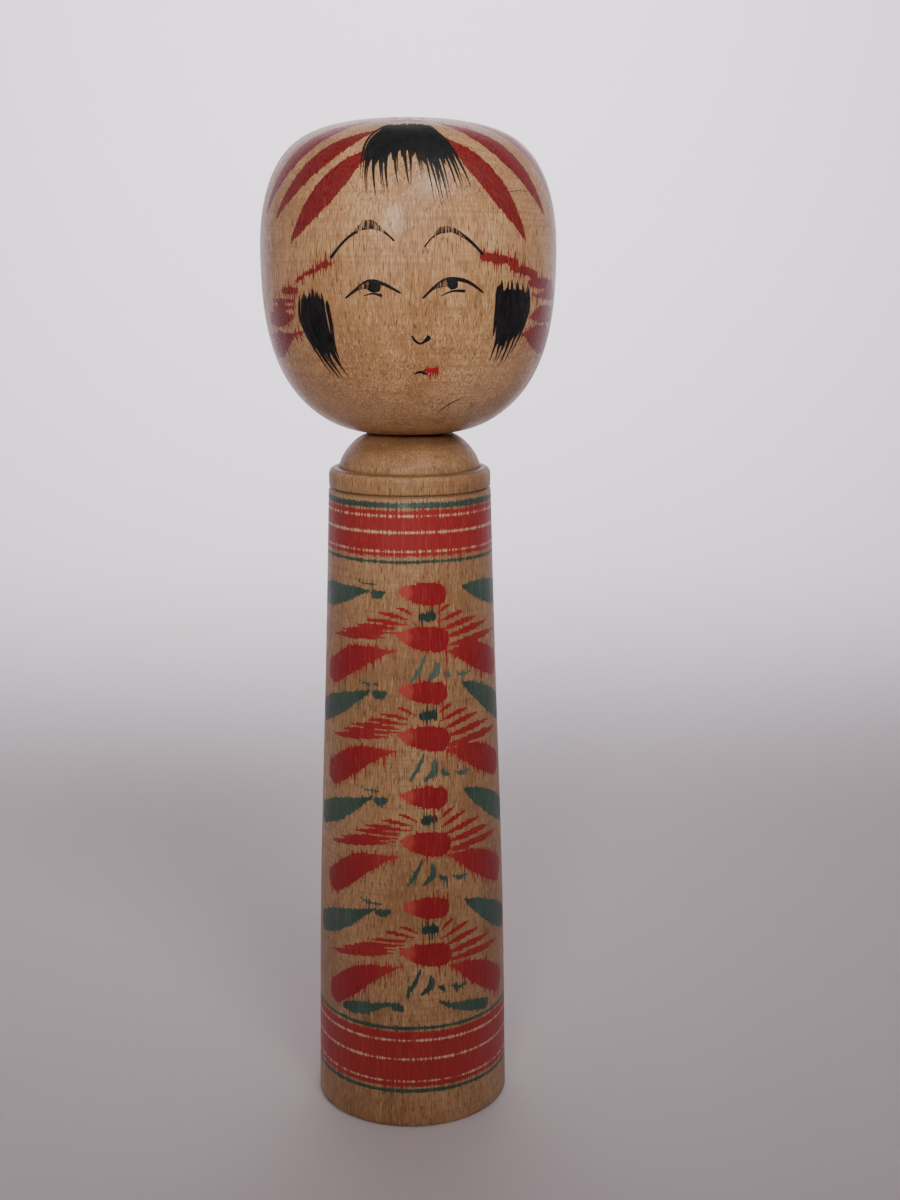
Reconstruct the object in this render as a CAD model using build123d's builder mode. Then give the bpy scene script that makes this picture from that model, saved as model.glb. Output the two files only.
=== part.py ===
"""A lathe-turned wooden kokeshi doll: a solid body and a solid head that turns in it.

Frame: millimetres, +Z up, the origin at the centre of the base, the body's painted front facing -Y.
Both pieces are turned between centres, so each is one revolved profile in the XZ plane.  The head is held
by its own tenon: the tenon ends in a swollen bead, the body's socket is undercut below a narrow throat, and
the maker spins the bead in past the throat while the wood is warm.  The head then turns, but can't lift out.
"""

import os

from build123d import *

# Overall sizes
total_height = 242.0
base_radius = 24.1
hip_radius, hip_height = 23.2, 50.0
chest_radius, chest_height = 21.15, 108.0
shoulder_radius, shoulder_height = 19.6, 156.2
base_edge_round = 0.7

# The lathe cuts round the shoulder, from below upwards
groove_depth = 0.6
groove_width = 0.9
ring_radius = 19.5
ring_round = 1.7
ledge_height = 161.6
dome_foot_radius = 16.9
dome_foot_cut = 0.45
dome_side_radius = 15.6
dome_side_height = 165.0
seat_radius = 9.2
seat_height = 169.7

# The hollow turned under the foot, and the print of the lathe's centre in it
foot_rim = 4.5
foot_hollow = 0.8
centre_print_radius = 1.6
centre_print_depth = 1.2

# The socket in the body, and the tenon under the head
throat_radius = 6.05
throat_length = 7.0
undercut_radius = 6.75
undercut_length = 9.0
undercut_taper = 1.5
socket_depth = 19.0
tenon_radius = 6.0
bead_radius = 6.5
tenon_length = 17.0
tenon_lead = 1.2
mouth_chamfer = 0.6
seat_gap = 0.2

# The head's outline, named by where each point lies
head_seat_radius = 8.0
head_seat_height = seat_height + seat_gap
chin_radius, chin_height = 15.7, 171.15
jaw_low_radius, jaw_low_height = 22.8, 175.1
jaw_radius, jaw_height = 29.2, 182.6
mouth_radius, mouth_height = 33.3, 193.9
eye_radius, eye_height = 34.7, 209.0
temple_radius, temple_height = 33.6, 223.4
crown_edge_radius, crown_edge_height = 26.9, 236.05
crown_radius, crown_height = 13.9, 241.25

os.makedirs("parts", exist_ok=True)


# Body: one turned solid, from the foot to the seat under the head, with the socket bored down its axis.
groove_low = shoulder_height
groove_mid = groove_low + groove_width / 2
groove_high = groove_low + groove_width
ring_top = ledge_height - ring_round

with BuildPart() as body:
    with BuildSketch(Plane.XZ) as body_profile:
        with BuildLine():
            foot = Line((0, foot_hollow), (base_radius - foot_rim - foot_hollow, foot_hollow))
            rim = Line(foot @ 1, (base_radius - foot_rim, 0))
            sole = Line(rim @ 1, (base_radius - base_edge_round, 0))
            edge = JernArc(sole @ 1, (1, 0), base_edge_round, 90)
            side = Spline(
                edge @ 1,
                (hip_radius, hip_height),
                (chest_radius, chest_height),
                (shoulder_radius, groove_low),
            )
            groove = Polyline(
                side @ 1,
                (shoulder_radius - groove_depth, groove_mid),
                (ring_radius, groove_high),
                (ring_radius, ring_top),
            )
            shoulder = JernArc(groove @ 1, (0, 1), ring_round, 90)
            ledge = Polyline(
                shoulder @ 1,
                (dome_foot_radius + dome_foot_cut, ledge_height),
                (dome_foot_radius, ledge_height - dome_foot_cut),
                (dome_foot_radius, ledge_height),
            )
            dome = Spline(
                ledge @ 1,
                (dome_side_radius, dome_side_height),
                (seat_radius, seat_height),
                tangents=[(0, 1), (-1, 0.12)],
                tangent_scalars=[0.8, 1.0],
            )
            socket = Polyline(
                dome @ 1,
                (throat_radius + mouth_chamfer, seat_height),
                (throat_radius, seat_height - mouth_chamfer),
                (throat_radius, seat_height - throat_length),
                (undercut_radius, seat_height - throat_length - undercut_taper),
                (undercut_radius, seat_height - throat_length - undercut_length),
                (throat_radius, seat_height - socket_depth),
                (0, seat_height - socket_depth - undercut_taper),
                (0, foot_hollow),
            )
        make_face()
    revolve(axis=Axis.Z)
    with BuildSketch(Plane.XZ) as centre_print:
        Polygon(
            (0, foot_hollow - 1),
            (centre_print_radius, foot_hollow - 1),
            (centre_print_radius, foot_hollow),
            (0, foot_hollow + centre_print_depth),
            align=None,
        )
    revolve(axis=Axis.Z, mode=Mode.SUBTRACT)
body.part.label = "body"


# Head: one turned solid, its crown, cheeks and jaw in one smooth curve, with the tenon left under it.
bead_low = head_seat_height - tenon_length + tenon_lead
bead_high = head_seat_height - throat_length - undercut_taper - seat_gap
bead_mid = (bead_low + bead_high) / 2

with BuildPart() as head:
    with BuildSketch(Plane.XZ) as head_profile:
        with BuildLine():
            face = Spline(
                (0, total_height),
                (crown_radius, crown_height),
                (crown_edge_radius, crown_edge_height),
                (temple_radius, temple_height),
                (eye_radius, eye_height),
                (mouth_radius, mouth_height),
                (jaw_radius, jaw_height),
                (jaw_low_radius, jaw_low_height),
                (chin_radius, chin_height),
                (head_seat_radius, head_seat_height),
                tangents=[(1, 0), (-1, 0)],
            )
            neck = Polyline(
                face @ 1,
                (tenon_radius, head_seat_height),
                (tenon_radius, bead_high),
            )
            bead = ThreePointArc(neck @ 1, (bead_radius, bead_mid), (tenon_radius, bead_low))
            tenon_end = Polyline(
                bead @ 1,
                (tenon_radius - tenon_lead, head_seat_height - tenon_length),
                (0, head_seat_height - tenon_length),
                (0, total_height),
            )
        make_face()
    revolve(axis=Axis.Z)
head.part.label = "head"


for piece in (body, head):
    export_step(piece.part, f"parts/{piece.part.label}.step")
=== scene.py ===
import math
import random

import bmesh
import bpy
import numpy as np
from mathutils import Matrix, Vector
from mathutils.bvhtree import BVHTree


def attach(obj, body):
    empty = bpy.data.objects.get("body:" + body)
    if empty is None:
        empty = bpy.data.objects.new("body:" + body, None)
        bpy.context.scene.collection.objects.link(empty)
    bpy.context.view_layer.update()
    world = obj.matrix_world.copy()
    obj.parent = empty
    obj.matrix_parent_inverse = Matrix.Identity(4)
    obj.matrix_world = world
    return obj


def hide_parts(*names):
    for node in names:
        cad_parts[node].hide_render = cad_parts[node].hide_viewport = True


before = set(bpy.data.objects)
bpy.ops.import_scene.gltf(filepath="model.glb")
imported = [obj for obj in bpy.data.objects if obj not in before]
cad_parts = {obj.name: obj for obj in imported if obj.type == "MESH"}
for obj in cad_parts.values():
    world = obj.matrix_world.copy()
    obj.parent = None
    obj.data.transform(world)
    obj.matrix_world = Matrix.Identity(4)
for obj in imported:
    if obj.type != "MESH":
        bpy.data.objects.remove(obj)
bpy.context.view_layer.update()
MM = 0.001


# ---------------------------------------------------------------------------
# The camera stands a forearm's length in front of the doll, a little below the
# top of its head, and looks slightly down at it.
# ---------------------------------------------------------------------------
camera_distance = 387.4
camera_height = 209.2
camera_tilt = 11.78
camera_turn = 1.44
camera_lens = 48.3

camera_data = bpy.data.cameras.new("camera")
camera_data.lens = camera_lens
camera_data.sensor_width = 36.0
camera_data.clip_start = 0.01
camera_data.dof.use_dof = False
camera = bpy.data.objects.new("camera", camera_data)
camera.location = (0.0, -camera_distance * MM, camera_height * MM)
camera.rotation_euler = (math.radians(90 - camera_tilt), 0.0, math.radians(-camera_turn))
bpy.context.scene.collection.objects.link(camera)
bpy.context.scene.camera = camera


# ---------------------------------------------------------------------------
# The stand: a plain pale floor that sweeps up all round into a pale wall.  Soft lights
# stand above and in front of the doll, one washes the wall, and a weak even light fills in.
# ---------------------------------------------------------------------------
floor_radius = 0.75
sweep_radius = 0.55
wall_height = 1.9


def add_node(tree, kind, **settings):
    """A new node of that kind with its own settings, such as its operation."""
    made = tree.nodes.new(kind)
    for name, value in settings.items():
        setattr(made, name, value)
    return made


def plug(tree, socket, value):
    """Joins a socket to another node's output, or gives it a plain value."""
    if isinstance(value, bpy.types.NodeSocket):
        tree.links.new(value, socket)
    else:
        socket.default_value = value


def new_material(name):
    """A node material with nothing but its shader, and the shader itself."""
    made = bpy.data.materials.new(name)
    made.use_nodes = True
    shader = made.node_tree.nodes["Principled BSDF"]
    return made, shader


def link_object(name, data):
    """A new object in the scene, at the origin, for that mesh or curve."""
    made = bpy.data.objects.new(name, data)
    bpy.context.scene.collection.objects.link(made)
    return made


sweep_outline = [(0.0, 0.0), (floor_radius * 0.5, 0.0), (floor_radius, 0.0)]
for step in range(1, 13):
    lean = math.radians(90 * step / 12)
    sweep_outline.append((floor_radius + sweep_radius * math.sin(lean), sweep_radius * (1 - math.cos(lean))))
sweep_outline.append((floor_radius + sweep_radius, wall_height))

sweep = bmesh.new()
sweep_points = [sweep.verts.new((radius, 0.0, height)) for radius, height in sweep_outline]
sweep_edges = [sweep.edges.new(pair) for pair in zip(sweep_points, sweep_points[1:])]
bmesh.ops.spin(
    sweep, geom=sweep_points + sweep_edges, cent=(0, 0, 0), axis=(0, 0, 1), angle=math.tau, steps=96,
)
bmesh.ops.remove_doubles(sweep, verts=sweep.verts, dist=1e-5)
bmesh.ops.recalc_face_normals(sweep, faces=sweep.faces)
bmesh.ops.reverse_faces(sweep, faces=sweep.faces)
for face in sweep.faces:
    face.smooth = True
sweep_mesh = bpy.data.meshes.new("floor")
sweep.to_mesh(sweep_mesh)
sweep.free()
floor = link_object("floor", sweep_mesh)
floor_material, floor_shader = new_material("pale_floor")
floor_shader.inputs["Base Color"].default_value = (0.75, 0.695, 0.695, 1.0)
floor_shader.inputs["Roughness"].default_value = 0.9
floor_shader.inputs["Specular IOR Level"].default_value = 0.1
sweep_mesh.materials.append(floor_material)


def soft_light(name, place, target, size, power, colour, beam):
    """A square soft light at a place, facing a target, with its beam's width in degrees."""
    data = bpy.data.lights.new(name, "AREA")
    data.shape = "SQUARE"
    data.size = size
    data.energy = power
    data.color = colour
    data.spread = math.radians(beam)
    lamp = link_object(name, data)
    lamp.location = place
    lamp.rotation_euler = (Vector(target) - Vector(place)).to_track_quat("-Z", "Y").to_euler()
    return lamp


soft_light("key_light", (0.19, -0.48, 0.66), (0.0, 0.0, 0.35), 0.28, 0.33, (1.0, 0.99, 0.98), 50)
soft_light("front_light", (-0.11, -0.61, 0.36), (0.0, 0.0, 0.18), 0.11, 0.095, (1.0, 0.96, 0.90), 42)
soft_light("wall_light", (0.0, 0.45, 1.0), (0.0, 1.30, 0.44), 0.60, 16.0, (0.98, 0.97, 1.10), 130)
soft_light("top_light", (0.05, 0.10, 0.95), (0.0, 0.05, 0.0), 0.50, 0.18, (1.0, 1.0, 1.0), 120)

world = bpy.data.worlds.new("even_light")
world.use_nodes = True
world.node_tree.nodes["Background"].inputs["Color"].default_value = (0.93, 0.95, 1.0, 1.0)
world.node_tree.nodes["Background"].inputs["Strength"].default_value = 0.06
bpy.context.scene.world = world


# ---------------------------------------------------------------------------
# Body: one billet of pale close-grained wood, turned between centres, with a
# cut ring and a domed shoulder at the top and a shallow hollow under the foot.
# The socket for the head's tenon is bored down its axis.
# ---------------------------------------------------------------------------
painted_front = 12.6
groove_height = 156.65
dome_foot_height = 161.35


def fair_line(points, start_slope, end_slope, step):
    """Points every so many millimetres on the smooth line that a bent lath takes through a few points."""
    points = np.array(points, float)
    gaps = np.linalg.norm(np.diff(points, axis=0), axis=1)
    count = len(points)
    matrix = np.zeros((count, count))
    wanted = np.zeros((count, 2))
    matrix[0, 0] = matrix[-1, -1] = 1.0
    wanted[0], wanted[-1] = start_slope, end_slope
    for i in range(1, count - 1):
        matrix[i, i - 1 : i + 2] = gaps[i], 2 * (gaps[i - 1] + gaps[i]), gaps[i - 1]
        rise_before = (points[i] - points[i - 1]) / gaps[i - 1]
        rise_after = (points[i + 1] - points[i]) / gaps[i]
        wanted[i] = 3 * (gaps[i] * rise_before + gaps[i - 1] * rise_after)
    slopes = np.linalg.solve(matrix, wanted)
    line = []
    for i in range(count - 1):
        for t in np.linspace(0, 1, max(2, round(gaps[i] / step) + 1))[:-1]:
            pull = gaps[i] * t * (1 - t)
            blend = t * t * (3 - 2 * t)
            line.append(
                points[i] * (1 - blend) + points[i + 1] * blend
                + pull * ((1 - t) * slopes[i] - t * slopes[i + 1])
            )
    line.append(points[-1])
    return [tuple(p) for p in line]


def eased(points, ease, cuts=3):
    """The same outline with each corner eased by a small round, as fingers and years leave it."""
    points = [np.array(p, float) for p in points]
    line = [tuple(points[0])]
    for before, corner, after in zip(points, points[1:], points[2:]):
        reach = min(ease, np.linalg.norm(corner - before) / 2.5, np.linalg.norm(after - corner) / 2.5)
        first = corner + (before - corner) / np.linalg.norm(before - corner) * reach
        last = corner + (after - corner) / np.linalg.norm(after - corner) * reach
        for t in np.linspace(0, 1, cuts + 1):
            line.append(tuple(first * (1 - t) ** 2 + corner * 2 * t * (1 - t) + last * t * t))
    line.append(tuple(points[-1]))
    return line


def turned_tree():
    """Geometry Nodes that spin an outline once round the lathe axis, with cuts crowded towards the front."""
    tree = bpy.data.node_groups.new("turned_on_the_lathe", "GeometryNodeTree")
    tree.is_modifier = True
    face = tree.interface
    face.new_socket("Outline", in_out="INPUT", socket_type="NodeSocketGeometry")
    face.new_socket("Cuts round", in_out="INPUT", socket_type="NodeSocketInt")
    face.new_socket("Crowding", in_out="INPUT", socket_type="NodeSocketFloat")
    face.new_socket("Front angle", in_out="INPUT", socket_type="NodeSocketFloat")
    face.new_socket("Wood", in_out="INPUT", socket_type="NodeSocketMaterial")
    face.new_socket("Geometry", in_out="OUTPUT", socket_type="NodeSocketGeometry")
    given = add_node(tree, "NodeGroupInput").outputs

    def maths(operation, *values):
        made = add_node(tree, "ShaderNodeMath", operation=operation)
        for socket, value in zip(made.inputs, values):
            plug(tree, socket, value)
        return made.outputs[0]

    def whole(operation, *values):
        made = add_node(tree, "FunctionNodeIntegerMath", operation=operation)
        for socket, value in zip(made.inputs, values):
            plug(tree, socket, value)
        return made.outputs[0]

    outline_size = add_node(tree, "GeometryNodeAttributeDomainSize", component="CURVE")
    plug(tree, outline_size.inputs[0], given["Outline"])
    rows = outline_size.outputs["Point Count"]
    grid = add_node(tree, "GeometryNodeMeshGrid")
    plug(tree, grid.inputs["Vertices X"], whole("ADD", given["Cuts round"], 1))
    plug(tree, grid.inputs["Vertices Y"], rows)
    index = add_node(tree, "GeometryNodeInputIndex").outputs[0]
    column = whole("DIVIDE_FLOOR", index, rows)
    row = whole("MODULO", index, rows)

    place = add_node(tree, "GeometryNodeInputPosition").outputs[0]
    sample = add_node(tree, "GeometryNodeSampleIndex", data_type="FLOAT_VECTOR", domain="POINT")
    plug(tree, sample.inputs["Geometry"], given["Outline"])
    plug(tree, sample.inputs["Value"], place)
    plug(tree, sample.inputs["Index"], row)
    outline = add_node(tree, "ShaderNodeSeparateXYZ")
    plug(tree, outline.inputs[0], sample.outputs[0])

    share = maths("SUBTRACT", maths("DIVIDE", column, given["Cuts round"]), 0.5)
    turn = maths("MULTIPLY", share, math.tau)
    angle = maths("SUBTRACT", turn, maths("MULTIPLY", given["Crowding"], maths("SINE", turn)))
    angle = maths("ADD", angle, given["Front angle"])
    spot = add_node(tree, "ShaderNodeCombineXYZ")
    plug(tree, spot.inputs["X"], maths("MULTIPLY", outline.outputs["X"], maths("SINE", angle)))
    side = maths("MULTIPLY", outline.outputs["X"], maths("COSINE", angle))
    plug(tree, spot.inputs["Y"], maths("MULTIPLY", side, -1.0))
    plug(tree, spot.inputs["Z"], outline.outputs["Z"])

    moved = add_node(tree, "GeometryNodeSetPosition")
    plug(tree, moved.inputs["Geometry"], grid.outputs["Mesh"])
    plug(tree, moved.inputs["Position"], spot.outputs[0])
    smooth = add_node(tree, "GeometryNodeSetShadeSmooth")
    plug(tree, smooth.inputs["Geometry"], moved.outputs[0])
    whole_mesh = add_node(tree, "GeometryNodeRealizeInstances")
    plug(tree, whole_mesh.inputs["Geometry"], smooth.outputs[0])
    finish = add_node(tree, "GeometryNodeSetMaterial")
    plug(tree, finish.inputs["Geometry"], whole_mesh.outputs[0])
    plug(tree, finish.inputs["Material"], given["Wood"])
    plug(tree, add_node(tree, "NodeGroupOutput").inputs["Geometry"], finish.outputs[0])
    return tree


def grown_mesh(tree, guide, name, settings):
    """The plain mesh that a tree makes from a guide object, with the tree's inputs set by name."""
    modifier = guide.modifiers.new(tree.name, "NODES")
    modifier.node_group = tree
    for item in tree.interface.items_tree:
        if item.in_out == "INPUT" and item.name in settings:
            modifier[item.identifier] = settings[item.name]
    bpy.context.view_layer.update()
    made = bpy.data.meshes.new_from_object(guide.evaluated_get(bpy.context.evaluated_depsgraph_get()))
    made.name = name
    guide.modifiers.remove(modifier)
    bpy.data.objects.remove(guide)
    return made


def guide_curve(name, lines):
    """A curve object of straight-jointed lines, in metres, from points in metres."""
    data = bpy.data.curves.new(name, "CURVE")
    data.dimensions = "3D"
    for line in lines:
        spline = data.splines.new("POLY")
        spline.points.add(len(line) - 1)
        for point, spot in zip(spline.points, line):
            point.co = (*spot, 1.0)
    return link_object(name, data)


def close_turning(mesh):
    """Joins the seam and the poles of a turned mesh, and faces it outwards."""
    shell = bmesh.new()
    shell.from_mesh(mesh)
    bmesh.ops.remove_doubles(shell, verts=shell.verts, dist=1e-7)
    bmesh.ops.recalc_face_normals(shell, faces=shell.faces)
    shell.to_mesh(mesh)
    shell.free()


lathe = turned_tree()
PIECE_CUTS = {"body": 236, "head": 360}


def turned_mesh(name, outline, crowding, front, wood):
    """A turned piece before its seam is closed: the mesh, and its vertices as columns by rows."""
    guide = guide_curve(name + "_outline", [[(r * MM, 0.0, z * MM) for r, z in outline]])
    settings = {
        "Cuts round": PIECE_CUTS[name], "Crowding": crowding,
        "Front angle": math.radians(front), "Wood": wood,
    }
    mesh = grown_mesh(lathe, guide, name, settings)
    places = np.zeros(len(mesh.vertices) * 3, np.float32)
    mesh.vertices.foreach_get("co", places)
    return mesh, places.reshape(PIECE_CUTS[name] + 1, len(outline), 3).astype(float) / MM


foot = eased([(0, 2.0), (1.6, 0.8), (18.8, 0.8), (19.6, 0.0), (23.4, 0.0), (24.1, 0.7)], 0.4)[:-1]
side_points = [(24.1, 0.7), (23.2, 50.0), (21.15, 108.0), (19.6, 156.2)]
side_low = fair_line(side_points, (-0.018, 1.0), (-0.031, 1.0), 0.42)
side = [side_low[0]]
for spot in side_low:
    bare = spot[1] < 27 or spot[1] > 139
    if spot[1] - side[-1][1] > (1.7 if bare else 0.3):
        side.append(spot)
ring = [(19.6, 156.2), (19.0, 156.65), (19.5, 157.1), (19.5, 159.9)]
for lean in range(10, 91, 10):
    ring.append((17.8 + 1.7 * math.cos(math.radians(lean)), 159.9 + 1.7 * math.sin(math.radians(lean))))
ring += [(17.35, 161.6), (16.9, 161.15), (16.9, 161.6)]
ring = eased(ring, 0.18, 2)
dome = fair_line([(16.9, 161.6), (15.6, 165.0), (9.2, 169.7)], (0.0, 1.0), (-1.0, 0.12), 0.4)
socket = eased(
    [(9.2, 169.7), (6.65, 169.7), (6.05, 169.1), (6.05, 162.7), (6.75, 161.2), (6.75, 153.7),
     (6.05, 150.7), (0.0, 149.2)],
    0.25, 2,
)
body_outline = foot + side[:-1] + ring + dome[1:-1] + socket


def grain_tools(tree):
    """Short ways to build wood: maths, soft steps, mixes and noise that runs with the grain."""
    coordinates = add_node(tree, "ShaderNodeTexCoord").outputs["Object"]
    scaled = add_node(tree, "ShaderNodeVectorMath", operation="SCALE")
    plug(tree, scaled.inputs[0], coordinates)
    scaled.inputs["Scale"].default_value = 1.0 / MM
    place = scaled.outputs[0]

    def maths(operation, *values, clamp=False):
        made = add_node(tree, "ShaderNodeMath", operation=operation, use_clamp=clamp)
        for socket, value in zip(made.inputs, values):
            plug(tree, socket, value)
        return made.outputs[0]

    def step(value, low, high, start=0.0, end=1.0):
        made = add_node(tree, "ShaderNodeMapRange", interpolation_type="SMOOTHSTEP")
        ends = {"Value": value, "From Min": low, "From Max": high, "To Min": start, "To Max": end}
        for name, given in ends.items():
            plug(tree, made.inputs[name], given)
        return made.outputs[0]

    def mix(share, first, second, blend="MIX"):
        made = add_node(tree, "ShaderNodeMix", data_type="RGBA", blend_type=blend)
        for name, given in (("Factor_Float", share), ("A_Color", first), ("B_Color", second)):
            socket = next(s for s in made.inputs if s.identifier == name)
            plug(tree, socket, given if isinstance(given, (bpy.types.NodeSocket, float)) else (*given, 1.0))
        return next(s for s in made.outputs if s.type == "RGBA")

    def grain(across, along, shift=0.0, detail=2.0, rough=0.5):
        stretched = add_node(tree, "ShaderNodeVectorMath", operation="MULTIPLY_ADD")
        plug(tree, stretched.inputs[0], place)
        stretched.inputs[1].default_value = (across, across, along)
        stretched.inputs[2].default_value = (shift, shift * 0.7, shift * 1.3)
        noise = add_node(tree, "ShaderNodeTexNoise")
        plug(tree, noise.inputs["Vector"], stretched.outputs[0])
        noise.inputs["Scale"].default_value = 1.0
        noise.inputs["Detail"].default_value = detail
        noise.inputs["Roughness"].default_value = rough
        return noise.outputs[0]

    spot = add_node(tree, "ShaderNodeSeparateXYZ")
    plug(tree, spot.inputs[0], place)
    return maths, step, mix, grain, spot.outputs["Z"]


def wood_colour(tools):
    """Old waxed wood: amber, with pale and dark fibres along the grain and faint tool marks across."""
    maths, step, mix, grain, z = tools
    pale, mid = (0.80, 0.53, 0.29), (0.58, 0.320, 0.147)
    deep, brown = (0.35, 0.170, 0.070), (0.10, 0.041, 0.015)
    cloud = grain(0.06, 0.03, 3.1, 4.0, 0.65)
    bands = grain(0.5, 0.02, 7.7, 2.0)
    tone = maths("ADD", maths("MULTIPLY", cloud, 0.75), maths("MULTIPLY", bands, 0.25))
    colour = mix(step(tone, 0.38, 0.54, 0.70, 0.0), mid, deep)
    colour = mix(step(tone, 0.50, 0.68, 0.0, 0.45), colour, pale)
    fibre = grain(2.7, 0.30, 11.3, 3.0, 0.65)
    colour = mix(step(fibre, 0.50, 0.68, 0.0, 0.70), colour, pale)
    pore = step(grain(3.0, 0.36, 23.9, 2.0), 0.50, 0.61)
    colour = mix(maths("MULTIPLY", pore, 0.66), colour, deep)
    streak = step(grain(2.2, 0.055, 47.0, 2.0), 0.54, 0.70)
    colour = mix(maths("MULTIPLY", streak, 0.40), colour, deep)
    dash = step(grain(3.6, 0.45, 41.0, 1.0), 0.61, 0.70)
    colour = mix(maths("MULTIPLY", dash, 0.80), colour, brown)
    cuts = grain(0.045, 1.5, 5.5, 3.0, 0.6)
    colour = mix(step(cuts, 0.48, 0.68, 0.0, 0.42), colour, deep)
    blotch = step(grain(0.30, 0.18, 61.0, 4.0, 0.65), 0.60, 0.74)
    colour = mix(maths("MULTIPLY", blotch, 0.42), colour, brown)
    height = maths("SUBTRACT", maths("MULTIPLY", fibre, 1.3), maths("MULTIPLY", pore, 0.6))
    height = maths("ADD", height, maths("MULTIPLY", cuts, 0.5))
    return colour, fibre, pore, height


def dye_cover(tools, edge, run):
    """How much of a dye covers the wood: its brushed shape, ragged along the grain, and its runs."""
    maths, step, mix, grain, z = tools
    ragged = grain(2.6, 0.12, 71.0, 1.0)
    shape = maths("ADD", edge, maths("MULTIPLY", maths("SUBTRACT", ragged, 0.5), 0.30))
    brushed = step(shape, -0.09, 0.09)
    bite = step(ragged, 0.30, 0.50, 0.42, -0.1)
    kept = step(maths("ADD", run, bite), 0.05, -0.12)
    brushed = maths("MULTIPLY", brushed, kept)
    seep = grain(1.9, 0.04, 83.0, 1.0)
    reach = maths("ADD", step(ragged, 0.44, 0.76, -0.1, 1.5), step(seep, 0.66, 0.82, 0.0, 3.4))
    wicked = step(maths("SUBTRACT", reach, run), 0.0, 0.25)
    return maths("MAXIMUM", brushed, wicked)


def attribute(tree, name):
    """The value that the mesh carries under a name."""
    made = add_node(tree, "ShaderNodeAttribute", attribute_type="GEOMETRY", attribute_name=name)
    return made.outputs["Fac"]


def wood_finish(tree, shader, tools, colour, fibre, height, rough_low, rough_high, wax=0.08):
    """Rubbed wax over bare wood: satin, a little rougher along the pores, with the fibres just felt."""
    maths, step, mix, grain, z = tools
    plug(tree, shader.inputs["Base Color"], colour)
    worn = grain(0.09, 0.06, 97.0, 2.0)
    rough = maths("ADD", step(fibre, 0.3, 0.7, rough_low, rough_high), step(worn, 0.4, 0.7, 0.0, 0.08))
    plug(tree, shader.inputs["Roughness"], rough)
    bump = add_node(tree, "ShaderNodeBump")
    bump.inputs["Strength"].default_value = 0.8
    bump.inputs["Distance"].default_value = 0.10 * MM
    plug(tree, bump.inputs["Height"], height)
    plug(tree, shader.inputs["Normal"], bump.outputs[0])
    shader.inputs["Specular IOR Level"].default_value = 0.30
    shader.inputs["Coat Weight"].default_value = wax
    shader.inputs["Coat Roughness"].default_value = 0.22


RED_DEEP, RED_THIN = (0.29, 0.005, 0.013), (0.54, 0.070, 0.050)
GREEN_DEEP, GREEN_THIN = (0.008, 0.038, 0.030), (0.085, 0.165, 0.120)

# Bands that the maker lays on by holding the brush to the turning body: (low, high) heights.
red_bands = [(142.9, 143.8), (144.15, 148.1), (148.75, 152.05), (152.4, 153.6),
             (11.0, 12.2), (12.55, 17.95), (18.5, 22.9), (23.45, 25.4)]
green_bands = [(154.05, 155.35), (141.2, 141.85), (26.0, 26.8), (9.4, 10.3)]


def band_edge(tools, bands, ragged):
    """Signed depth inside a set of bands, from the height alone, more or less ragged along the grain."""
    maths, step, mix, grain, z = tools
    waver = maths("MULTIPLY", maths("SUBTRACT", grain(0.09, 0.02, 5.0, 1.0), 0.5), 0.5)
    level = maths("ADD", z, waver)
    depth = None
    for low, high in bands:
        off_middle = maths("ABSOLUTE", maths("SUBTRACT", level, (low + high) / 2))
        here = maths("SUBTRACT", (high - low) / 2, off_middle)
        depth = here if depth is None else maths("MAXIMUM", depth, here)
    ticks = maths("MULTIPLY", maths("SUBTRACT", grain(2.9, 0.05, 29.0, 1.0), 0.47), ragged)
    spill = maths("MULTIPLY", maths("SUBTRACT", grain(0.35, 0.2, 37.0, 1.0), 0.5), 0.45)
    creep = step(grain(2.2, 0.02, 43.0, 1.0), 0.64, 0.80, 0.0, 0.5 * ragged)
    return maths("ADD", maths("ADD", depth, creep), maths("ADD", ticks, spill))


body_wood, body_shader = new_material("body_wood")
body_tree = body_wood.node_tree
body_tools = grain_tools(body_tree)
maths, step, mix, grain, z = body_tools
colour, fibre, pore, height = wood_colour(body_tools)
# The whole body's wood is mixed about a third towards dark brown, darker than the head's: partly a darker
# billet, partly painted shade for the dimmer light on the lower doll.
colour = mix(0.31, colour, (0.10, 0.048, 0.020))
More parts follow.
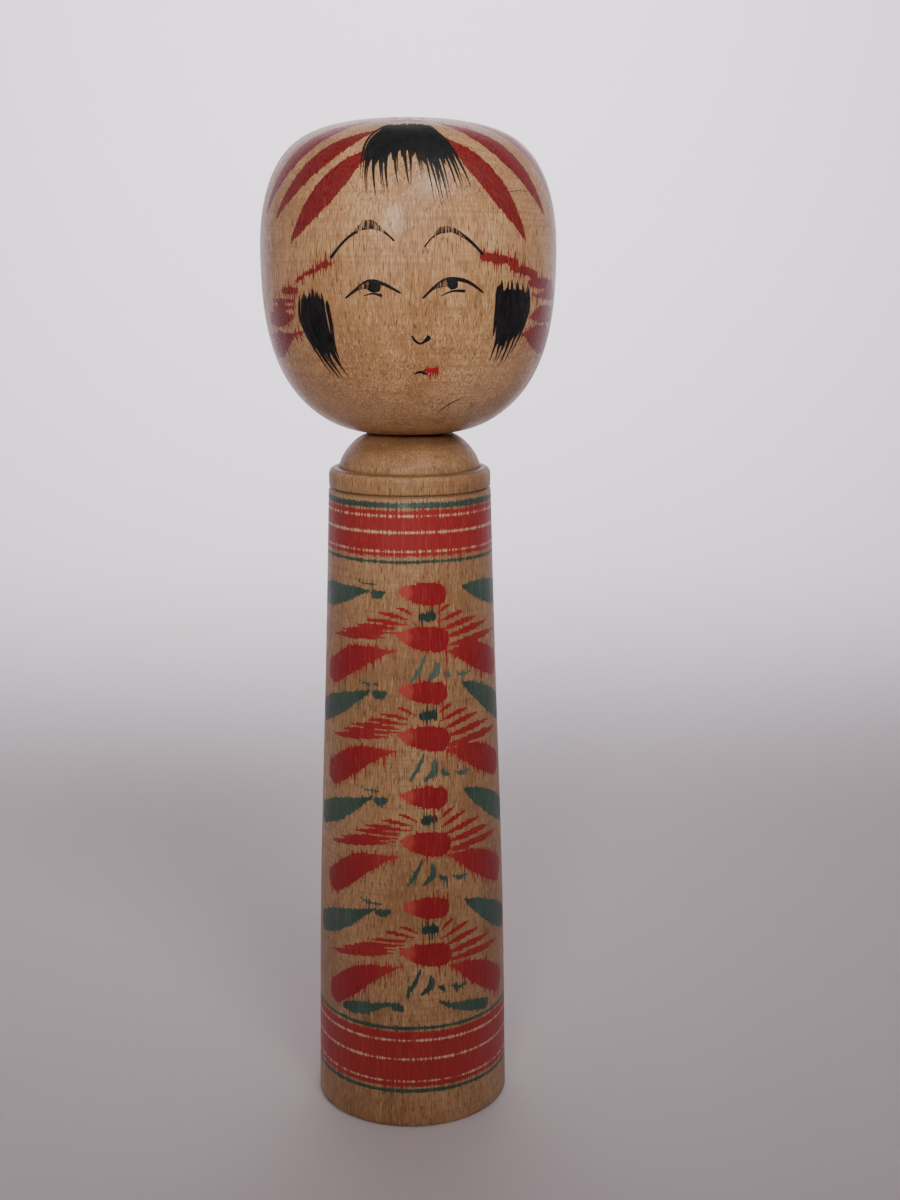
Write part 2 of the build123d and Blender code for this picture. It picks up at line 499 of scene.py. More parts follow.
# Painted shade: the wood is darkened in narrow bands at the cut groove under the ring and at the foot of the
# dome, where shade gathers in the recesses.
groove_shade = maths("MAXIMUM", step(maths("ABSOLUTE", maths("SUBTRACT", z, groove_height)), 0.55, 0.15),
              step(maths("ABSOLUTE", maths("SUBTRACT", z, dome_foot_height)), 0.35, 0.1))
colour = mix(maths("MULTIPLY", groove_shade, 0.6), colour, (0.10, 0.045, 0.018))
rubbed_lines = (144.0, 148.42, 152.22, 12.38, 18.22, 23.18)
for middle in rubbed_lines:
    rubbed = step(maths("ABSOLUTE", maths("SUBTRACT", z, middle)), 0.50, 0.20, 0.0, 0.60)
    colour = mix(rubbed, colour, (0.80, 0.52, 0.36))
streaks = grain(2.8, 0.12, 131.0, 2.0)
for dye, bands, ragged, thin, deep in (
    ("green", green_bands, 1.25, GREEN_THIN, GREEN_DEEP), ("red", red_bands, 2.0, RED_THIN, RED_DEEP),
):
    bands_here = band_edge(body_tools, bands, ragged)
    cover = dye_cover(body_tools, attribute(body_tree, dye + "_edge"), attribute(body_tree, dye + "_run"))
    cover = maths("MAXIMUM", cover, step(bands_here, -0.05, 0.06))
    load = maths("MAXIMUM", attribute(body_tree, dye + "_load"), step(bands_here, -0.5, 0.0, 0.0, 0.80))
    load = maths("SUBTRACT", load, step(streaks, 0.5, 0.8, 0.0, 0.45), clamp=True)
    dyed = mix(load, thin, deep)
    dyed = mix(maths("MULTIPLY", step(fibre, 0.55, 0.8), 0.16), dyed, colour)
    colour = mix(maths("MULTIPLY", cover, step(load, 0.0, 0.5, 0.84, 0.97)), colour, dyed)
wood_finish(body_tree, body_shader, body_tools, colour, fibre, height, 0.34, 0.50)

body_mesh, body_places = turned_mesh("body", body_outline, 0.55, painted_front - 4.0, body_wood)


# ---------------------------------------------------------------------------
# Dye on the body: four chrysanthemums, one above the other, brushed in red with
# leaves and stems in green.  Each stroke goes down once and soaks into the wood.
# A stroke is placed by millimetres round from the flowers' middle and up from the base.
# ---------------------------------------------------------------------------
class Painting:
    """The dye on one turned piece: how deep in its strokes each vertex lies, and the brush's load."""

    def __init__(self, places):
        self.places = places
        self.depth = np.full(places.shape[:2], -6.0)
        self.load = np.zeros(places.shape[:2])
        self.wick = np.ones(places.shape[:2])

    def stroke(self, line, widths, loads, wick):
        """One brush stroke along points in millimetres: half widths, loads and how far it creeps."""
        line, widths, loads = np.array(line, float), np.array(widths, float), np.array(loads, float)
        reach = widths.max() + 4.0
        low, high = line.min(0) - reach, line.max(0) + reach
        near = np.all((self.places > low) & (self.places < high), axis=2)
        spots = self.places[near]
        best = np.full(len(spots), -6.0)
        pigment = np.zeros(len(spots))
        for i in range(len(line) - 1):
            along = line[i + 1] - line[i]
            t = np.clip((spots - line[i]) @ along / max(along @ along, 1e-9), 0, 1)
            gap = np.linalg.norm(spots - line[i] - t[:, None] * along, axis=1)
            here = widths[i] * (1 - t) + widths[i + 1] * t - gap
            better = here > best
            best = np.where(better, here, best)
            pigment = np.where(better, loads[i] * (1 - t) + loads[i + 1] * t, pigment)
        old = self.depth[near]
        self.depth[near] = np.maximum(old, best)
        self.load[near] = np.where(best > old, pigment, self.load[near])
        self.wick[near] = np.where(best > old, wick, self.wick[near])

    def runs(self):
        """Distance along the grain to the dye's edge, negative inside it, as a share of the dye's creep."""
        along = np.linalg.norm(np.diff(self.places, axis=1), axis=2)
        outside = np.where(self.depth > 0, 0.0, 9.0)
        inside = np.where(self.depth > 0, 2.0, 0.0)
        for distance in (outside, inside):
            for i in range(1, distance.shape[1]):
                distance[:, i] = np.minimum(distance[:, i], distance[:, i - 1] + along[:, i - 1])
            for i in range(distance.shape[1] - 2, -1, -1):
                distance[:, i] = np.minimum(distance[:, i], distance[:, i + 1] + along[:, i])
        return (outside - inside) / self.wick

    def lay_on(self, mesh, dye):
        """Stores the dye on the mesh, vertex by vertex."""
        for name, values in (("edge", self.depth), ("run", self.runs()), ("load", self.load)):
            layer = mesh.attributes.new(dye + "_" + name, "FLOAT", "POINT")
            layer.data.foreach_set("value", values.astype(np.float32).ravel())


def bent_line(points, count=12):
    """A smooth line through two to five points, in whatever units they are in."""
    points = np.array(points, float)
    if len(points) == 2:
        return points[0] + np.linspace(0, 1, count)[:, None] * (points[1] - points[0])
    slopes = np.gradient(points, axis=0)
    line = []
    for i in range(len(points) - 1):
        for t in np.linspace(0, 1, count)[: None if i == len(points) - 2 else -1]:
            blend = t * t * (3 - 2 * t)
            pull = t * (1 - t) * ((1 - t) * slopes[i] - t * slopes[i + 1])
            line.append(points[i] * (1 - blend) + points[i + 1] * blend + pull)
    return np.array(line)


side_heights = [z for r, z in side]
side_radii = [r for r, z in side]


def on_body(across, height):
    """The place on the body's side so many millimetres round from the flowers' middle, and so high."""
    radius = np.interp(height, side_heights, side_radii)
    angle = np.radians(painted_front) + across / radius
    return np.stack([radius * np.sin(angle), -radius * np.cos(angle), height], axis=-1)


def brush(painting, points, widths, loads=(0.9, 0.9), wick=1.0):
    """A stroke through (across, height) points, with half widths and loads spaced evenly along it."""
    line = bent_line(points)
    share = np.linspace(0, 1, len(line))
    wide = np.interp(share, np.linspace(0, 1, len(widths)), widths)
    full = np.interp(share, np.linspace(0, 1, len(loads)), loads)
    painting.stroke(on_body(line[:, 0], line[:, 1]), wide, full, wick)


def slim_petal(painting, start, end, width):
    """A slender petal, pointed at both ends and widest past its middle."""
    middle = ((start[0] + end[0]) / 2, (start[1] + end[1]) / 2 + 0.25)
    wide = 1.25 * width + 0.05
    tail = (start[0] + 0.22 * (start[0] - end[0]), start[1] + 0.22 * (start[1] - end[1]))
    brush(painting, [tail, start, middle, end],
          [0.05, 0.10, 0.16, 0.5 * wide, 0.85 * wide, wide, wide, 0.6 * wide, 0.06],
          [0.5, 0.6, 0.9, 0.9, 0.7], 0.28)


def full_petal(painting, tip, middle, end, width):
    """A petal pressed out of a full brush: a fine tip that swells to a round end."""
    brush(painting, [tip, middle, end],
          [0.08, 0.25 * width, 0.62 * width, 0.92 * width, width, 0.96 * width],
          [0.6, 0.9, 1.0, 1.0], 1.6)


def heart_petal(painting, tip, end, width):
    """A petal on the flower's middle line, pale where the brush first touched and deep where it pressed."""
    touch = (tip[0] * 0.55 + end[0] * 0.45, tip[1] * 0.55 + end[1] * 0.45)
    brush(painting, [tip, touch, end], [0.1, 0.5 * width, 0.8 * width, width, width],
          [0.28, 0.28, 0.28, 0.30, 0.95, 1.0, 1.0, 1.0, 1.0], 0.9)


top_flower = 123.0
hand = random.Random(8)


def fan(painting, level, count, root, root_step, end, end_step, bow, thin, thick):
    """Slim petals side by side, from the top one's root and end, each set on by a share of the steps."""
    for i in range(count):
        share = i / (count - 1)
        root_spot = (root[0] + root_step[0] * share, level + root[1] + root_step[1] * share)
        across = end[0] + end_step[0] * share + hand.uniform(-0.7, 0.7)
        up = end[1] + end_step[1] * share ** bow + hand.uniform(-0.4, 0.4)
        slim_petal(painting, root_spot, (across, level + up), thin + (thick - thin) * share)


def chrysanthemum(red, green, level, droop):
    """A flower from the side: two heart petals, a green eye, a fan to each side, two full petals below."""
    fan(red, level, 6, (-4.0, 6.2), (-7.5, -5.6), (-8.0, 7.6), (-19.0 - droop, -8.0 - droop),
        1.1, 0.28, 0.60)
    fan(red, level, 5, (2.4, 6.6), (2.4, -8.2), (6.0, 8.0 + 0.6 * droop), (16.0, -8.0 - droop),
        1.2, 0.30, 0.70)
    low_left, low_right = -9.5 - 1.3 * droop, -8.5 - 1.3 * droop
    full_petal(red, (-7.5, level - 2.5), (-17.0, level + 0.45 * low_left), (-27.0, level + low_left), 3.3)
    full_petal(red, (3.5, level - 2.8), (11.0, level + 0.5 * low_right), (21.0, level + low_right), 3.4)
    heart_petal(red, (-8.0, level + 1.2), (1.8, level), 3.0)
    heart_petal(red, (-7.5, level + 11.6 + 0.5 * droop), (1.6, level + 10.8 + 0.5 * droop), 2.7)
    brush(green, [(-1.8, level + 5.4 + 0.5 * droop), (0.5, level + 5.6 + 0.5 * droop)],
          [1.1, 1.2], (1.0, 1.0), 2.2)


leafy = (0.85, 0.55, 0.75)


def leaf_pair(green, level, spread):
    """A leaf to each side above a flower, with a bud and a thin stem by the left one."""
    budding = (0.7, 0.8)
    brush(green, [(-14.5, level), (-22.0, level - 3.5 * spread), (-33.0, level - 8.0 * spread)],
          [0.25, 1.1, 2.1, 2.9, 2.7], leafy, 0.8)
    brush(green, [(8.5, level + 1.5 * spread), (14.0, level - 1.8 * spread), (25.0, level - 8.2 * spread)],
          [0.2, 1.2, 2.1, 3.0, 2.9], leafy, 0.8)
    brush(green, [(-14.0, level - 0.4), (-12.2, level - 0.8), (-10.4, level)],
          [0.3, 1.1, 0.9, 0.3], budding, 0.8)
    brush(green, [(-18.5, level + 2.4), (-15.5, level + 1.5), (-12.5, level + 1.6)],
          [0.12, 0.25, 0.15], budding, 0.8)


def sprig(green, level, lean, load):
    """A stem with a small leaf and a tendril, under a flower."""
    brush(green, [(lean - 1.0, level), (lean - 2.4, level - 3.2), (lean - 4.6, level - 6.6)],
          [0.3, 0.4, 0.5, 0.25], (load, 0.8 * load))
    brush(green, [(lean + 1.4, level - 1.6), (lean + 1.6, level - 4.0), (lean - 0.8, level - 6.4)],
          [0.25, 0.85, 0.8, 0.3], (0.8 * load, load))
    brush(green, [(lean + 3.4, level - 4.6), (lean + 5.2, level - 5.6)], [0.35, 0.6, 0.3], (load, load))
    brush(green, [(lean + 6.6, level - 4.8), (lean + 8.6, level - 5.6), (lean + 11.4, level - 5.0)],
          [0.2, 0.55, 0.15], (load, 0.6 * load))


body_red = Painting(body_places)
body_green = Painting(body_places)
for tier in range(4):
    # Each flower stands a little further below the last, and droops a little more.
    level = top_flower - 24.0 * tier - tier * (tier - 1)
    chrysanthemum(body_red, body_green, level, 0.8 * tier)
    leaf_pair(body_green, level + 11.5, 0.4 if tier == 0 else 1.0)
    sprig(body_green, level - 3.5, -0.7 * tier, 0.35 + 0.2 * tier)

# Two leaves lie along the lower bands, with a bud.
brush(body_green, [(-24.0, 29.5), (-17.5, 30.5), (-11.0, 32.5)],
      [0.8, 1.6, 1.6, 0.9, 0.5], leafy, 0.8)
brush(body_green, [(1.5, 33.0), (6.0, 31.0), (15.5, 29.0)],
      [0.3, 0.5, 0.9, 1.5, 1.4], leafy, 0.8)
brush(body_green, [(-10.5, 32.5), (-8.0, 31.5)], [0.4, 1.2, 0.9], (0.8, 0.8), 0.8)

# Where the brush pressed hardest the dye has run on down an open pore, in a line as fine as a hair.
pore_runs = [
    (2.4, 137.5, 119.0), (4.2, 121.0, 106.0), (-21.0, 121.0, 110.5), (-13.6, 121.0, 113.0),
    (17.6, 117.0, 109.0),
    (3.0, 112.5, 104.0), (3.8, 97.5, 88.5), (-19.5, 92.5, 84.6), (0.6, 86.5, 77.5), (18.8, 92.0, 83.0),
    (-1.4, 70.5, 62.0), (-23.0, 64.0, 55.0), (14.5, 68.0, 60.5), (-2.6, 52.0, 44.0),
    (1.6, 43.5, 35.5), (16.0, 42.0, 33.5),
]
for across, top, bottom in pore_runs:
    brush(body_red, [(across, top), (across + 0.1, bottom)], [0.13, 0.16, 0.13, 0.07], (1.0, 0.8), 0.3)

body_red.lay_on(body_mesh, "red")
body_green.lay_on(body_mesh, "green")
close_turning(body_mesh)
body = link_object("turned_body", body_mesh)
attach(body, "body")
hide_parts("body")


# ---------------------------------------------------------------------------
# Head: a second billet of the same wood, turned round and full, with the tenon
# left under it that snaps into the body's socket and lets the head turn.
# ---------------------------------------------------------------------------
face_front = 4.5
head_points = [(0.0, 242.0), (13.9, 241.25), (26.9, 236.05), (33.6, 223.4), (34.7, 209.0), (33.3, 193.9),
               (29.2, 182.6), (22.8, 175.1), (15.7, 171.15), (8.0, 169.9)]
head_face = fair_line(head_points, (1.0, 0.0), (-1.0, 0.0), 0.5)
tenon = eased(
    [(8.0, 169.9), (6.0, 169.9), (6.0, 161.2), (6.35, 159.4), (6.5, 157.1), (6.35, 155.2), (6.0, 154.1),
     (4.8, 152.9), (0.0, 152.9)],
    0.2, 2,
)
head_outline = [p for i, p in enumerate(head_face[:-1]) if i != 1] + tenon

head_wood, head_shader = new_material("head_wood")
head_tree = head_wood.node_tree
head_tools = grain_tools(head_tree)
maths, step, mix, grain, z = head_tools
colour, fibre, pore, height = wood_colour(head_tools)
streaks = grain(2.8, 0.12, 131.0, 2.0)
cover = dye_cover(head_tools, attribute(head_tree, "red_edge"), attribute(head_tree, "red_run"))
load = maths("SUBTRACT", attribute(head_tree, "red_load"), step(streaks, 0.5, 0.8, 0.0, 0.4), clamp=True)
dyed = mix(load, (0.42, 0.045, 0.034), (0.19, 0.0035, 0.008))
dyed = mix(maths("MULTIPLY", step(fibre, 0.55, 0.8), 0.14), dyed, colour)
colour = mix(maths("MULTIPLY", cover, step(load, 0.0, 0.5, 0.8, 0.97)), colour, dyed)
wood_finish(head_tree, head_shader, head_tools, colour, fibre, height, 0.24, 0.38, 0.18)

head_mesh, head_places = turned_mesh("head", head_outline, 0.42, face_front, head_wood)
head_skin = BVHTree.FromPolygons(
    [Vector(v.co) / MM for v in head_mesh.vertices], [tuple(p.vertices) for p in head_mesh.polygons],
)
face_heights = [z for r, z in reversed(head_face)]
face_radii = [r for r, z in reversed(head_face)]


def on_head(angle, height):
    """The place on the head at an angle round from straight ahead, in degrees, and a height."""
    radius = np.interp(height, face_heights, face_radii)
    turn = math.radians(angle)
    return (radius * math.sin(turn), -radius * math.cos(turn), height)


def traced(points, count=9):
    """A smooth line over the head through (angle, height) points, pressed onto the wood all along."""
    line = bent_line([on_head(*p) for p in points], count)
    return [tuple(head_skin.find_nearest(Vector(p))[0]) for p in line]


# ---------------------------------------------------------------------------
# Dye on the head: red petals that spread from the crown all round, and a row of
# short red dabs over each ear that ends in two full ones.
# ---------------------------------------------------------------------------
head_red = Painting(head_places)


def head_brush(points, widths, loads=(0.9, 0.9), wick=0.6):
    """A stroke over the head, with half widths and loads spaced evenly along it."""
    line = traced(points)
    share = np.linspace(0, 1, len(line))
    wide = np.interp(share, np.linspace(0, 1, len(widths)), widths)
    full = np.interp(share, np.linspace(0, 1, len(loads)), loads)
    head_red.stroke(line, wide, full, wick)


petal_shape = np.array([0.05, 0.45, 0.85, 1.0, 1.0, 0.85, 0.5, 0.08])
crown_petals = [
    ([(-14.5, 234.0), (-32.0, 225.2), (-48.4, 213.9)], 2.8),
    ([(-14.5, 237.7), (-38.5, 231.6), (-60.0, 218.7)], 2.35),
    ([(-24.0, 240.0), (-53.0, 234.2), (-70.5, 220.0)], 2.5),
    ([(-62.0, 240.6), (-78.0, 234.0), (-88.0, 220.5)], 2.4),
    ([(15.0, 236.4), (32.5, 227.4), (48.4, 214.4)], 2.75),
    ([(18.0, 239.5), (44.5, 233.4), (63.5, 220.0)], 2.6),
    ([(-20.0, 241.9), (-14.0, 241.5), (-9.0, 240.4)], 1.2),
    ([(0.0, 241.9), (0.0, 241.5), (0.0, 240.5)], 1.3),
    ([(-12.5, 239.9), (0.0, 240.3), (12.5, 239.9)], 1.0),
    ([(20.0, 241.9), (14.0, 241.5), (10.0, 240.5)], 1.2),
    ([(42.0, 240.2), (65.0, 235.4), (77.0, 221.5)], 2.3),
    ([(70.0, 240.8), (86.0, 234.0), (94.0, 220.5)], 2.4),
    ([(-112.0, 241.0), (-112.0, 234.5), (-110.0, 220.0)], 2.7),
    ([(-148.0, 241.2), (-138.0, 235.0), (-133.0, 220.0)], 2.7),
    ([(118.0, 241.0), (116.0, 234.5), (116.0, 220.0)], 2.7),
    ([(152.0, 241.2), (143.0, 235.0), (139.0, 220.0)], 2.7),
    ([(-176.0, 241.4), (-170.0, 235.0), (-158.0, 219.5)], 2.6),
    ([(176.0, 241.4), (176.0, 235.0), (170.0, 219.5)], 2.6),
]
for points, width in crown_petals:
    head_brush(points, petal_shape * width, [0.9, 1.0, 1.0, 0.95])

ear_dabs = [
    ([(-34.2, 209.0), (-28.3, 209.4)], [0.4, 0.8, 0.4]),
    ([(-41.4, 207.1), (-34.4, 208.2)], [0.3, 0.6, 0.4]),
    ([(-47.3, 205.1), (-42.2, 206.6)], [0.2, 0.6, 0.4]),
    ([(-56.7, 203.2), (-45.8, 203.6)], [0.1, 0.7, 0.7, 0.6]),
    ([(-64.0, 201.1), (-47.5, 201.2)], [0.3, 0.7, 0.5, 0.2]),
    ([(-64.5, 199.6), (-48.0, 199.9)], [0.3, 0.8, 0.6, 0.2]),
    ([(-49.0, 197.9), (-57.0, 197.3), (-68.0, 196.9)], [0.2, 1.0, 1.7, 1.8, 1.2]),
    ([(-45.0, 194.4), (-53.0, 193.4), (-62.0, 191.8), (-72.0, 190.6)], [0.3, 0.4, 0.9, 2.2, 2.9, 2.4]),
    ([(27.0, 211.0), (35.0, 210.3), (43.0, 209.6)], [0.7, 1.1, 0.9, 0.8]),
    ([(41.0, 208.2), (48.0, 207.8), (55.5, 206.8)], [0.6, 0.9, 0.8]),
    ([(51.0, 205.2), (60.0, 205.0), (71.0, 204.4)], [0.6, 1.2, 1.3, 1.0]),
    ([(54.0, 202.4), (64.0, 202.2), (76.0, 202.4)], [0.3, 0.7, 1.2, 1.0]),
    ([(52.8, 197.2), (61.0, 198.2), (75.0, 197.8)], [0.2, 0.9, 1.8, 2.0, 1.4]),
    ([(49.5, 193.8), (60.0, 193.2), (76.0, 191.5)], [0.3, 1.0, 2.4, 3.2, 2.6]),
]
for points, widths in ear_dabs:
    head_brush(points, np.array(widths) * 1.1, [0.8, 0.95, 0.85], 1.7)

head_red.lay_on(head_mesh, "red")
close_turning(head_mesh)
head = link_object("turned_head", head_mesh)
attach(head, "head")
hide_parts("head")


# ---------------------------------------------------------------------------
# Ink on the head: forelock, side locks, brows, eyes and nose in black, laid with
# a fine brush.  The ink stands on the wood as a thin glossy film, drawn hair by hair.
# ---------------------------------------------------------------------------
def ink_tree():
    """Geometry Nodes that lay fine brush hairs along guide lines and press them flat onto the head."""
    tree = bpy.data.node_groups.new("brushed_ink", "GeometryNodeTree")
    tree.is_modifier = True
    face = tree.interface
    face.new_socket("Guides", in_out="INPUT", socket_type="NodeSocketGeometry")
    for name, kind in (
        ("Hairs", "NodeSocketInt"), ("Spread", "NodeSocketFloat"), ("Width", "NodeSocketFloat"),
        ("Finest", "NodeSocketFloat"), ("Blunt root", "NodeSocketFloat"), ("Taper from", "NodeSocketFloat"),
        ("Thickness", "NodeSocketFloat"),
        ("Seed", "NodeSocketInt"), ("Surface", "NodeSocketObject"), ("Ink", "NodeSocketMaterial"),
    ):
        face.new_socket(name, in_out="INPUT", socket_type=kind)
    face.new_socket("Geometry", in_out="OUTPUT", socket_type="NodeSocketGeometry")
    given = add_node(tree, "NodeGroupInput").outputs

    def maths(operation, *values, clamp=False):
        made = add_node(tree, "ShaderNodeMath", operation=operation, use_clamp=clamp)
        for socket, value in zip(made.inputs, values):
            plug(tree, socket, value)
        return made.outputs[0]

    def vectors(operation, *values):
        made = add_node(tree, "ShaderNodeVectorMath", operation=operation)
        for socket, value in zip(made.inputs, values):
            plug(tree, socket, value)
        return made

    def luck(low, high, identity, seed_shift):
        made = add_node(tree, "FunctionNodeRandomValue", data_type="FLOAT")
        plug(tree, made.inputs[2], low)
        plug(tree, made.inputs[3], high)
        plug(tree, made.inputs["ID"], identity)
        plug(tree, made.inputs["Seed"], maths("ADD", given["Seed"], seed_shift))
        return made.outputs[1]

    hairs = add_node(tree, "GeometryNodeDuplicateElements", domain="SPLINE")
    plug(tree, hairs.inputs["Geometry"], given["Guides"])
    plug(tree, hairs.inputs["Amount"], given["Hairs"])
    own_line = add_node(tree, "GeometryNodeSplineParameter")
    share = own_line.outputs["Factor"]
    index = add_node(tree, "GeometryNodeInputIndex").outputs[0]
    spline_of_point = add_node(tree, "GeometryNodeCurveOfPoint")
    plug(tree, spline_of_point.inputs[0], index)
    hair = spline_of_point.outputs["Curve Index"]

    aside = add_node(tree, "ShaderNodeCombineXYZ")
    for axis, shift in (("X", 1), ("Y", 2), ("Z", 3)):
        plug(tree, aside.inputs[axis], luck(-1.0, 1.0, hair, shift))
    gather = maths("SUBTRACT", 1.0, maths("MULTIPLY", share, 0.55))
    offset = vectors("SCALE", aside.outputs[0])
    plug(tree, offset.inputs["Scale"], maths("MULTIPLY", given["Spread"], gather))
    strayed = add_node(tree, "GeometryNodeSetPosition")
    plug(tree, strayed.inputs["Geometry"], hairs.outputs["Geometry"])
    plug(tree, strayed.inputs["Offset"], offset.outputs[0])

    finer = luck(given["Finest"], 1.0, hair, 5)
    rise = maths("ADD", given["Blunt root"], maths("MULTIPLY", share, 9.0), clamp=True)
    share_left = maths("SUBTRACT", 1.0, share)
    tail = maths("DIVIDE", share_left, maths("SUBTRACT", 1.0, given["Taper from"]), clamp=True)
    width = maths("MULTIPLY", maths("MULTIPLY", rise, maths("POWER", tail, 0.8)), finer)
    own_size = add_node(tree, "GeometryNodeInputRadius").outputs[0]
    width = maths("MULTIPLY", maths("MULTIPLY", width, given["Width"]), own_size)
    round_hair = add_node(tree, "GeometryNodeCurvePrimitiveCircle", mode="RADIUS")
    round_hair.inputs["Resolution"].default_value = 10
    round_hair.inputs["Radius"].default_value = 1.0
    swept = add_node(tree, "GeometryNodeCurveToMesh")
    plug(tree, swept.inputs["Curve"], strayed.outputs[0])
    plug(tree, swept.inputs["Profile Curve"], round_hair.outputs["Curve"])
    plug(tree, swept.inputs["Scale"], maths("MAXIMUM", width, 0.015 * MM))
    swept.inputs["Fill Caps"].default_value = True

    wood = add_node(tree, "GeometryNodeObjectInfo", transform_space="RELATIVE")
    plug(tree, wood.inputs["Object"], given["Surface"])
    nearest = add_node(tree, "GeometryNodeProximity", target_element="FACES")
    plug(tree, nearest.inputs["Target"], wood.outputs["Geometry"])
    here = add_node(tree, "GeometryNodeInputPosition").outputs[0]
    lift = vectors("SUBTRACT", here, nearest.outputs["Position"])
    size = vectors("LENGTH", lift.outputs[0]).outputs["Value"]
    squeezed = maths("DIVIDE", given["Thickness"], maths("ADD", size, given["Thickness"]))
    flat = vectors("SCALE", lift.outputs[0])
    plug(tree, flat.inputs["Scale"], squeezed)
    pressed = vectors("ADD", nearest.outputs["Position"], flat.outputs[0])
    laid = add_node(tree, "GeometryNodeSetPosition")
    plug(tree, laid.inputs["Geometry"], swept.outputs["Mesh"])
    plug(tree, laid.inputs["Position"], pressed.outputs[0])
    smooth = add_node(tree, "GeometryNodeSetShadeSmooth")
    plug(tree, smooth.inputs["Geometry"], laid.outputs[0])
    whole_mesh = add_node(tree, "GeometryNodeRealizeInstances")
    plug(tree, whole_mesh.inputs["Geometry"], smooth.outputs[0])
    finish = add_node(tree, "GeometryNodeSetMaterial")
    plug(tree, finish.inputs["Geometry"], whole_mesh.outputs[0])
    plug(tree, finish.inputs["Material"], given["Ink"])
    plug(tree, add_node(tree, "NodeGroupOutput").inputs["Geometry"], finish.outputs[0])
    return tree


def ink_material(name, thin):
    """Black ink, where thin is how much the raised grain of the wood shows through it."""
    made, shader = new_material(name)
    tree = made.node_tree
    tools = grain_tools(tree)
    maths, step, mix, grain, z = tools
    wood, fibre, pore, height = wood_colour(tools)
    ridge = grain(3.2, 0.30, 53.0, 1.0)
    worn = step(ridge, 0.66 - thin * 0.22, 0.80 - thin * 0.24, 0.0, 0.15 + thin * 0.55)
    sooty = mix(step(grain(0.5, 0.3, 17.0, 2.0), 0.3, 0.7), (0.0035, 0.003, 0.003), (0.009, 0.010, 0.011))
    colour = mix(worn, sooty, wood)
    wood_finish(tree, shader, tools, colour, fibre, height, 0.38, 0.5, 0.0)
    return made


brushed_ink = ink_tree()
wet_ink = ink_material("wet_ink", 0.0)
dry_ink = ink_material("dry_ink", 1.0)


def laid_lines(name, lines, widths, ink, piece, node, slot,
               hairs=1, spread=0.0, finest=1.0, blunt=1.0, taper=0.97, seed=1):
    """Lines pressed onto a piece, hair by hair, from points in millimetres and half widths along them."""
    guide = guide_curve(name + "_guide", [[tuple(np.array(p) * MM) for p in line] for line in lines])
    for spline, sizes in zip(guide.data.splines, widths):
        share = np.linspace(0, 1, len(spline.points))
        for point, size in zip(spline.points, np.interp(share, np.linspace(0, 1, len(sizes)), sizes)):
            point.radius = size
    settings = {
        "Hairs": hairs, "Spread": spread * MM, "Width": 1.0 * MM, "Finest": finest, "Blunt root": blunt,
        "Taper from": taper, "Thickness": 0.03 * MM, "Seed": seed, "Surface": piece, "Ink": ink,
    }
    mesh = grown_mesh(brushed_ink, guide, name, settings)
    coat = link_object(name, mesh)
    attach(coat, node)


def inked(name, guides, widths, ink, slot="black_ink", **brushing):
    """A piece of ink on the head, along guide lines of (angle, height) points."""
    laid_lines(name, [traced(guide) for guide in guides], widths, ink, head, "head", slot, **brushing)


# Forelock: a full brush pulled down from the crown, that splits into points over the forehead.
forelock_mass = [
    [(-9.6, 238.9), (-13.8, 235.0), (-15.8, 231.0), (-15.5, 229.9)],
    [(-7.0, 239.0), (-11.0, 235.0), (-12.8, 231.0), (-12.4, 229.7)],
    [(-4.2, 239.0), (-7.8, 235.0), (-9.6, 231.0), (-9.2, 230.3)],
    [(-1.6, 239.0), (-4.6, 235.0), (-6.0, 231.5), (-5.6, 230.9)],
    [(0.8, 239.0), (-1.2, 235.0), (-2.4, 232.0), (-2.2, 231.7)],
    [(2.8, 239.0), (2.2, 235.0), (1.6, 232.0), (1.6, 232.3)],
    [(4.8, 239.0), (5.6, 235.0), (6.2, 231.5), (7.4, 229.7)],
    [(6.8, 239.0), (8.8, 235.0), (10.2, 231.0), (11.4, 228.9)],
    [(8.6, 238.9), (12.0, 235.0), (14.2, 231.0), (15.8, 229.9)],
    [(9.8, 238.8), (14.0, 236.0), (17.6, 232.0), (19.2, 230.7)],
]
inked("forelock_mass", forelock_mass, [[1.3, 1.35, 1.1, 0.35]] * len(forelock_mass), wet_ink, taper=0.7)
forelock_tips = [
    [(-11.5, 238.6), (-17.5, 235.5), (-18.4, 231.5), (-17.6, 225.9)],
    [(-10.5, 238.8), (-15.5, 234.5), (-16.2, 229.5), (-15.1, 222.6)],
    [(-9.0, 238.9), (-13.0, 234.0), (-13.2, 229.0), (-11.7, 223.3)],
    [(-7.0, 239.0), (-10.5, 234.0), (-10.5, 229.5), (-9.0, 224.1)],
    [(-5.5, 239.0), (-8.5, 234.0), (-8.8, 229.5), (-7.4, 223.4)],
    [(-3.0, 239.0), (-5.0, 234.0), (-4.5, 229.0), (-2.8, 224.7)],
    [(-1.0, 239.0), (-2.0, 234.0), (-1.0, 229.5), (0.2, 225.5)],
    [(1.0, 239.0), (0.5, 234.0), (1.0, 230.0), (1.1, 224.6)],
    [(3.0, 239.0), (4.0, 234.0), (5.0, 230.5), (5.5, 227.3)],
    [(4.5, 239.0), (6.5, 234.0), (8.0, 229.0), (9.8, 221.5)],
    [(6.0, 239.0), (8.5, 234.0), (10.5, 229.0), (12.8, 221.5)],
    [(7.5, 238.9), (11.0, 234.5), (13.2, 229.5), (15.3, 222.4)],
    [(9.0, 238.8), (13.0, 235.0), (16.0, 230.0), (18.6, 224.2)],
    [(10.5, 238.7), (15.0, 236.0), (18.5, 231.0), (21.1, 224.9)],
    [(11.6, 238.5), (16.8, 236.0), (21.0, 231.0), (24.6, 224.9)],
]
